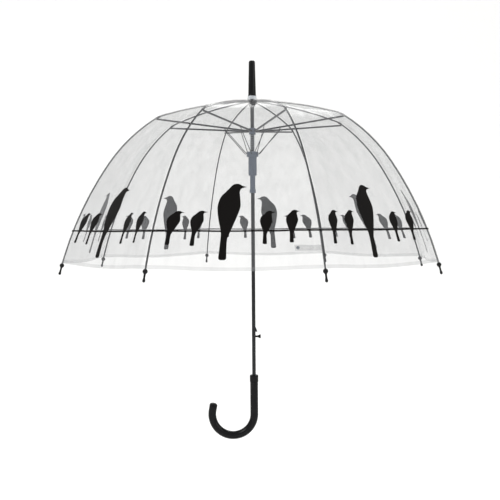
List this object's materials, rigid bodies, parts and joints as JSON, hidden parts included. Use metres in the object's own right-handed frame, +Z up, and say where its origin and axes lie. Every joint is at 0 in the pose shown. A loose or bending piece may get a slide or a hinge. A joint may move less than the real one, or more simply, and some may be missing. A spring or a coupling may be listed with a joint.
{
  "type": "bubble umbrella",
  "caption": "Clear dome umbrella, open, with curved ribs, strut linkage on a sliding runner, spring, release button and a crook handle.",
  "frame": {"origin": "on the shaft's axis, in the middle of the straight hand grip", "axes": "+Z up the shaft to the ferrule's tip, -X the way the crook curls, +X the side of the release button"},
  "size_m": [0.7774, 0.7774, 0.8095],
  "materials": {
    "pvc_film": "clear PVC film with a black print",
    "clear_plastic": "clear moulded plastic, gloss",
    "glass_fibre": "dark glass-fibre rod",
    "painted_steel": "black enamel on steel",
    "spring_steel": "zinc-plated spring wire",
    "black_plastic": "black moulded plastic, gloss",
    "stud_plastic": "blue-grey press stud"
  },
  "bodies": {
    "stick": {"canopy": "pvc_film", "shaft": "painted_steel", "ferrule": "black_plastic", "crown_collar": "clear_plastic", "rib_notch": "black_plastic", "handle": "black_plastic", "handle_collar": "black_plastic", "handle_end_plug": "black_plastic", "closing_strap": "pvc_film", "strap_stud": "stud_plastic"},
    "runner": {"runner": "black_plastic", "opening_spring": "spring_steel"},
    "hub": {"strut_hub": "black_plastic"},
    "button": {"release_button": "black_plastic"},
    "catch": {"catch": "painted_steel"},
    "rib_inner_1": {"rib_inner_1": "glass_fibre"},
    "rib_outer_1": {"rib_outer_1": "glass_fibre", "rib_tip_1": "black_plastic"},
    "strut_1": {"strut_1": "painted_steel"},
    "strut_wire_1": {"strut_wire_1": "painted_steel"},
    "rib_inner_2": {"rib_inner_2": "glass_fibre"},
    "rib_outer_2": {"rib_outer_2": "glass_fibre", "rib_tip_2": "black_plastic"},
    "strut_2": {"strut_2": "painted_steel"},
    "strut_wire_2": {"strut_wire_2": "painted_steel"},
    "rib_inner_3": {"rib_inner_3": "glass_fibre"},
    "rib_outer_3": {"rib_outer_3": "glass_fibre", "rib_tip_3": "black_plastic"},
    "strut_3": {"strut_3": "painted_steel"},
    "strut_wire_3": {"strut_wire_3": "painted_steel"},
    "rib_inner_4": {"rib_inner_4": "glass_fibre"},
    "rib_outer_4": {"rib_outer_4": "glass_fibre", "rib_tip_4": "black_plastic"},
    "strut_4": {"strut_4": "painted_steel"},
    "strut_wire_4": {"strut_wire_4": "painted_steel"},
    "rib_inner_5": {"rib_inner_5": "glass_fibre"},
    "rib_outer_5": {"rib_outer_5": "glass_fibre", "rib_tip_5": "black_plastic"},
    "strut_5": {"strut_5": "painted_steel"},
    "strut_wire_5": {"strut_wire_5": "painted_steel"},
    "rib_inner_6": {"rib_inner_6": "glass_fibre"},
    "rib_outer_6": {"rib_outer_6": "glass_fibre", "rib_tip_6": "black_plastic"},
    "strut_6": {"strut_6": "painted_steel"},
    "strut_wire_6": {"strut_wire_6": "painted_steel"},
    "rib_inner_7": {"rib_inner_7": "glass_fibre"},
    "rib_outer_7": {"rib_outer_7": "glass_fibre", "rib_tip_7": "black_plastic"},
    "strut_7": {"strut_7": "painted_steel"},
    "strut_wire_7": {"strut_wire_7": "painted_steel"},
    "rib_inner_8": {"rib_inner_8": "glass_fibre"},
    "rib_outer_8": {"rib_outer_8": "glass_fibre", "rib_tip_8": "black_plastic"},
    "strut_8": {"strut_8": "painted_steel"},
    "strut_wire_8": {"strut_wire_8": "painted_steel"}
  },
  "joints": [
    {"name": "runner_slide", "type": "slide", "parent": "stick", "child": "runner", "axis": [0, 0, -1], "range_m": [0, 0.3], "stiffness_N_per_m": 40, "springref_m": -0.5, "deforming": ["opening_spring"]},
    {"name": "hub_slide", "type": "slide", "parent": "stick", "child": "hub", "axis": [0, 0, -1], "range_m": [0, 0.33071]},
    {"name": "rib_pivot_1", "type": "hinge", "parent": "stick", "child": "rib_inner_1", "pos_m": [0.00291, -0.00931, 0.62655], "axis": [0.9545, 0.2982, 0], "range_deg": [0, 65.01]},
    {"name": "rib_bend_1", "type": "hinge", "parent": "rib_inner_1", "child": "rib_outer_1", "pos_m": [0.06205, -0.19862, 0.58383], "axis": [0.9545, 0.2982, 0], "range_deg": [-30.33, 0]},
    {"name": "strut_pivot_1", "type": "hinge", "parent": "hub", "child": "strut_1", "pos_m": [0.0053, -0.00756, 0.563], "axis": [0.9545, 0.2982, 0], "range_deg": [-71.74, 0]},
    {"name": "wire_pivot_1", "type": "hinge", "parent": "runner", "child": "strut_wire_1", "pos_m": [0.0092, -0.012, 0.51365], "axis": [0.9545, 0.2982, 0], "range_deg": [-37.63, 0]},
    {"name": "rib_pivot_2", "type": "hinge", "parent": "stick", "child": "rib_inner_2", "pos_m": [0.00864, -0.00453, 0.62655], "axis": [0.4641, 0.8858, 0], "range_deg": [0, 65.01]},
    {"name": "rib_bend_2", "type": "hinge", "parent": "rib_inner_2", "child": "rib_outer_2", "pos_m": [0.18432, -0.09657, 0.58383], "axis": [0.4641, 0.8858, 0], "range_deg": [-30.33, 0]},
    {"name": "strut_pivot_2", "type": "hinge", "parent": "hub", "child": "strut_2", "pos_m": [0.00909, -0.0016, 0.563], "axis": [0.4641, 0.8858, 0], "range_deg": [-71.74, 0]},
    {"name": "wire_pivot_2", "type": "hinge", "parent": "runner", "child": "strut_wire_2", "pos_m": [0.01499, -0.00198, 0.51365], "axis": [0.4641, 0.8858, 0], "range_deg": [-37.63, 0]},
    {"name": "rib_pivot_3", "type": "hinge", "parent": "stick", "child": "rib_inner_3", "pos_m": [0.00931, 0.00291, 0.62655], "axis": [-0.2982, 0.9545, 0], "range_deg": [0, 65.01]},
    {"name": "rib_bend_3", "type": "hinge", "parent": "rib_inner_3", "child": "rib_outer_3", "pos_m": [0.19862, 0.06205, 0.58383], "axis": [-0.2982, 0.9545, 0], "range_deg": [-30.33, 0]},
    {"name": "strut_pivot_3", "type": "hinge", "parent": "hub", "child": "strut_3", "pos_m": [0.00756, 0.0053, 0.563], "axis": [-0.2982, 0.9545, 0], "range_deg": [-71.74, 0]},
    {"name": "wire_pivot_3", "type": "hinge", "parent": "runner", "child": "strut_wire_3", "pos_m": [0.012, 0.0092, 0.51365], "axis": [-0.2982, 0.9545, 0], "range_deg": [-37.63, 0]},
    {"name": "rib_pivot_4", "type": "hinge", "parent": "stick", "child": "rib_inner_4", "pos_m": [0.00453, 0.00864, 0.62655], "axis": [-0.8858, 0.4641, 0], "range_deg": [0, 65.01]},
    {"name": "rib_bend_4", "type": "hinge", "parent": "rib_inner_4", "child": "rib_outer_4", "pos_m": [0.09657, 0.18432, 0.58383], "axis": [-0.8858, 0.4641, 0], "range_deg": [-30.33, 0]},
    {"name": "strut_pivot_4", "type": "hinge", "parent": "hub", "child": "strut_4", "pos_m": [0.0016, 0.00909, 0.563], "axis": [-0.8858, 0.4641, 0], "range_deg": [-71.74, 0]},
    {"name": "wire_pivot_4", "type": "hinge", "parent": "runner", "child": "strut_wire_4", "pos_m": [0.00198, 0.01499, 0.51365], "axis": [-0.8858, 0.4641, 0], "range_deg": [-37.63, 0]},
    {"name": "rib_pivot_5", "type": "hinge", "parent": "stick", "child": "rib_inner_5", "pos_m": [-0.00291, 0.00931, 0.62655], "axis": [-0.9545, -0.2982, 0], "range_deg": [0, 65.01]},
    {"name": "rib_bend_5", "type": "hinge", "parent": "rib_inner_5", "child": "rib_outer_5", "pos_m": [-0.06205, 0.19862, 0.58383], "axis": [-0.9545, -0.2982, 0], "range_deg": [-30.33, 0]},
    {"name": "strut_pivot_5", "type": "hinge", "parent": "hub", "child": "strut_5", "pos_m": [-0.0053, 0.00756, 0.563], "axis": [-0.9545, -0.2982, 0], "range_deg": [-71.74, 0]},
    {"name": "wire_pivot_5", "type": "hinge", "parent": "runner", "child": "strut_wire_5", "pos_m": [-0.0092, 0.012, 0.51365], "axis": [-0.9545, -0.2982, 0], "range_deg": [-37.63, 0]},
    {"name": "rib_pivot_6", "type": "hinge", "parent": "stick", "child": "rib_inner_6", "pos_m": [-0.00864, 0.00453, 0.62655], "axis": [-0.4641, -0.8858, 0], "range_deg": [0, 65.01]},
    {"name": "rib_bend_6", "type": "hinge", "parent": "rib_inner_6", "child": "rib_outer_6", "pos_m": [-0.18432, 0.09657, 0.58383], "axis": [-0.4641, -0.8858, 0], "range_deg": [-30.33, 0]},
    {"name": "strut_pivot_6", "type": "hinge", "parent": "hub", "child": "strut_6", "pos_m": [-0.00909, 0.0016, 0.563], "axis": [-0.4641, -0.8858, 0], "range_deg": [-71.74, 0]},
    {"name": "wire_pivot_6", "type": "hinge", "parent": "runner", "child": "strut_wire_6", "pos_m": [-0.01499, 0.00198, 0.51365], "axis": [-0.4641, -0.8858, 0], "range_deg": [-37.63, 0]},
    {"name": "rib_pivot_7", "type": "hinge", "parent": "stick", "child": "rib_inner_7", "pos_m": [-0.00931, -0.00291, 0.62655], "axis": [0.2982, -0.9545, 0], "range_deg": [0, 65.01]},
    {"name": "rib_bend_7", "type": "hinge", "parent": "rib_inner_7", "child": "rib_outer_7", "pos_m": [-0.19862, -0.06205, 0.58383], "axis": [0.2982, -0.9545, 0], "range_deg": [-30.33, 0]},
    {"name": "strut_pivot_7", "type": "hinge", "parent": "hub", "child": "strut_7", "pos_m": [-0.00756, -0.0053, 0.563], "axis": [0.2982, -0.9545, 0], "range_deg": [-71.74, 0]},
    {"name": "wire_pivot_7", "type": "hinge", "parent": "runner", "child": "strut_wire_7", "pos_m": [-0.012, -0.0092, 0.51365], "axis": [0.2982, -0.9545, 0], "range_deg": [-37.63, 0]},
    {"name": "rib_pivot_8", "type": "hinge", "parent": "stick", "child": "rib_inner_8", "pos_m": [-0.00453, -0.00864, 0.62655], "axis": [0.8858, -0.4641, 0], "range_deg": [0, 65.01]},
    {"name": "rib_bend_8", "type": "hinge", "parent": "rib_inner_8", "child": "rib_outer_8", "pos_m": [-0.09657, -0.18432, 0.58383], "axis": [0.8858, -0.4641, 0], "range_deg": [-30.33, 0]},
    {"name": "strut_pivot_8", "type": "hinge", "parent": "hub", "child": "strut_8", "pos_m": [-0.0016, -0.00909, 0.563], "axis": [0.8858, -0.4641, 0], "range_deg": [-71.74, 0]},
    {"name": "wire_pivot_8", "type": "hinge", "parent": "runner", "child": "strut_wire_8", "pos_m": [-0.00198, -0.01499, 0.51365], "axis": [0.8858, -0.4641, 0], "range_deg": [-37.63, 0]},
    {"name": "button_press", "type": "slide", "parent": "stick", "child": "button", "axis": [-1, 0, 0], "range_m": [0, 0.003], "stiffness_N_per_m": 400, "springref_m": -0.002},
    {"name": "catch_slide", "type": "slide", "parent": "stick", "child": "catch", "axis": [-1, 0, 0], "range_m": [0, 0.0033]}
  ],
  "couplings": [
    {"joint": "hub_slide", "follows": "runner_slide", "ratio": 1.1007},
    {"joint": "rib_pivot_1", "follows": "runner_slide", "rad_per_m": 3.7811},
    {"joint": "rib_bend_1", "follows": "runner_slide", "rad_per_m": -1.7635},
    {"joint": "strut_pivot_1", "follows": "runner_slide", "rad_per_m": -4.1725},
    {"joint": "wire_pivot_1", "follows": "runner_slide", "rad_per_m": -2.1878},
    {"joint": "rib_pivot_2", "follows": "runner_slide", "rad_per_m": 3.7811},
    {"joint": "rib_bend_2", "follows": "runner_slide", "rad_per_m": -1.7635},
    {"joint": "strut_pivot_2", "follows": "runner_slide", "rad_per_m": -4.1725},
    {"joint": "wire_pivot_2", "follows": "runner_slide", "rad_per_m": -2.1878},
    {"joint": "rib_pivot_3", "follows": "runner_slide", "rad_per_m": 3.7811},
    {"joint": "rib_bend_3", "follows": "runner_slide", "rad_per_m": -1.7635},
    {"joint": "strut_pivot_3", "follows": "runner_slide", "rad_per_m": -4.1725},
    {"joint": "wire_pivot_3", "follows": "runner_slide", "rad_per_m": -2.1878},
    {"joint": "rib_pivot_4", "follows": "runner_slide", "rad_per_m": 3.7811},
    {"joint": "rib_bend_4", "follows": "runner_slide", "rad_per_m": -1.7635},
    {"joint": "strut_pivot_4", "follows": "runner_slide", "rad_per_m": -4.1725},
    {"joint": "wire_pivot_4", "follows": "runner_slide", "rad_per_m": -2.1878},
    {"joint": "rib_pivot_5", "follows": "runner_slide", "rad_per_m": 3.7811},
    {"joint": "rib_bend_5", "follows": "runner_slide", "rad_per_m": -1.7635},
    {"joint": "strut_pivot_5", "follows": "runner_slide", "rad_per_m": -4.1725},
    {"joint": "wire_pivot_5", "follows": "runner_slide", "rad_per_m": -2.1878},
    {"joint": "rib_pivot_6", "follows": "runner_slide", "rad_per_m": 3.7811},
    {"joint": "rib_bend_6", "follows": "runner_slide", "rad_per_m": -1.7635},
    {"joint": "strut_pivot_6", "follows": "runner_slide", "rad_per_m": -4.1725},
    {"joint": "wire_pivot_6", "follows": "runner_slide", "rad_per_m": -2.1878},
    {"joint": "rib_pivot_7", "follows": "runner_slide", "rad_per_m": 3.7811},
    {"joint": "rib_bend_7", "follows": "runner_slide", "rad_per_m": -1.7635},
    {"joint": "strut_pivot_7", "follows": "runner_slide", "rad_per_m": -4.1725},
    {"joint": "wire_pivot_7", "follows": "runner_slide", "rad_per_m": -2.1878},
    {"joint": "rib_pivot_8", "follows": "runner_slide", "rad_per_m": 3.7811},
    {"joint": "rib_bend_8", "follows": "runner_slide", "rad_per_m": -1.7635},
    {"joint": "strut_pivot_8", "follows": "runner_slide", "rad_per_m": -4.1725},
    {"joint": "wire_pivot_8", "follows": "runner_slide", "rad_per_m": -2.1878},
    {"joint": "catch_slide", "follows": "button_press", "ratio": 1.1}
  ]
}
